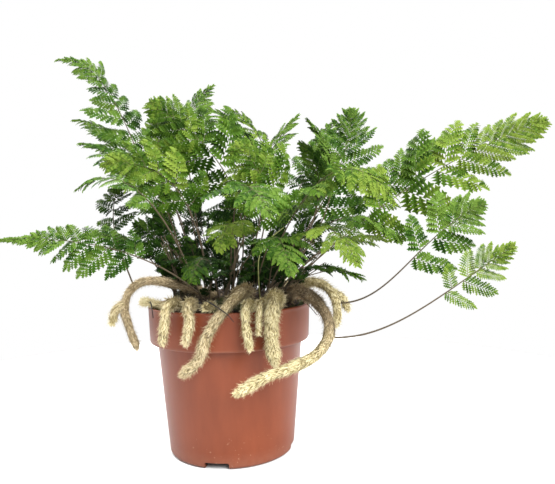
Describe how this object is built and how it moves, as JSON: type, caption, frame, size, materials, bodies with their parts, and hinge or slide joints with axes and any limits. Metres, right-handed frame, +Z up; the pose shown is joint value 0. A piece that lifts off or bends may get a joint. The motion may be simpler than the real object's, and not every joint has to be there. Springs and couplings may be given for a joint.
{
  "type": "potted fern",
  "caption": "Hare's-foot fern with finely cut arching fronds and furry rhizomes that creep over the rim of a round terracotta-coloured plastic nursery pot.",
  "frame": {"origin": "middle of the pot's flat underside", "axes": "+Z up along the pot's axis, -Y towards the side the picture shows, +X to that side's right, where the longest frond reaches"},
  "size_m": [0.3741, 0.277, 0.3055],
  "materials": {
    "pot_plastic": "satin moulded plastic",
    "potting_mix": "moist crumbly bark and peat",
    "rhizome_pale": "densely furry, cream",
    "rhizome_brown": "furry, older and browner",
    "frond_green": "satin mid-green leaf",
    "frond_bright": "satin young yellow-green leaf",
    "frond_dark": "satin dark green leaf"
  },
  "bodies": {
    "root": {"pot": "pot_plastic", "potting_mix": "potting_mix", "rhizome_left_arch": "rhizome_brown", "rhizome_left_rim": "rhizome_pale", "rhizome_front_left": "rhizome_pale", "rhizome_front_left_middle": "rhizome_pale", "rhizome_front_stub": "rhizome_pale", "rhizome_front_slanting": "rhizome_pale", "rhizome_front_middle": "rhizome_pale", "rhizome_front_thin": "rhizome_pale", "rhizome_front_right": "rhizome_pale", "rhizome_big_loop": "rhizome_pale", "rhizome_right_arch": "rhizome_pale", "rhizome_back_left": "rhizome_brown", "rhizome_back_middle": "rhizome_pale", "rhizome_back_right": "rhizome_pale", "frond_left_top": "frond_green", "frond_left_high": "frond_green", "frond_left_inner": "frond_bright", "frond_left_middle": "frond_green", "frond_left_front": "frond_bright", "frond_left_lower": "frond_green", "frond_far_left": "frond_green", "frond_left_foot": "frond_dark", "frond_top_left": "frond_green", "frond_top_left_back": "frond_dark", "frond_broad_left": "frond_bright", "frond_middle_top": "frond_green", "frond_middle_back": "frond_bright", "frond_middle_right": "frond_green", "frond_middle_broad": "frond_bright", "frond_middle_yellow": "frond_bright", "frond_middle_low": "frond_dark", "frond_middle_front": "frond_green", "frond_right_curled": "frond_green", "frond_right_curled_low": "frond_green", "frond_right_top_back": "frond_green", "frond_far_right": "frond_bright", "frond_right_back": "frond_green", "frond_right_top": "frond_green", "frond_right_front": "frond_bright", "frond_middle_low_right": "frond_green", "frond_right_front_low": "frond_bright", "frond_right_small": "frond_green", "frond_right_small_low": "frond_dark", "frond_right_foot": "frond_green", "frond_loop_foot": "frond_bright", "frond_inner_left": "frond_dark", "frond_inner_left_middle": "frond_dark", "frond_inner_middle": "frond_green", "frond_inner_right_middle": "frond_dark", "frond_inner_right": "frond_dark", "frond_inner_front_left": "frond_green", "frond_back_left_high": "frond_green", "frond_back_left_low": "frond_green", "frond_back_middle": "frond_dark", "frond_back_right_high": "frond_green", "frond_back_right_low": "frond_bright"}
  },
  "joints": []
}
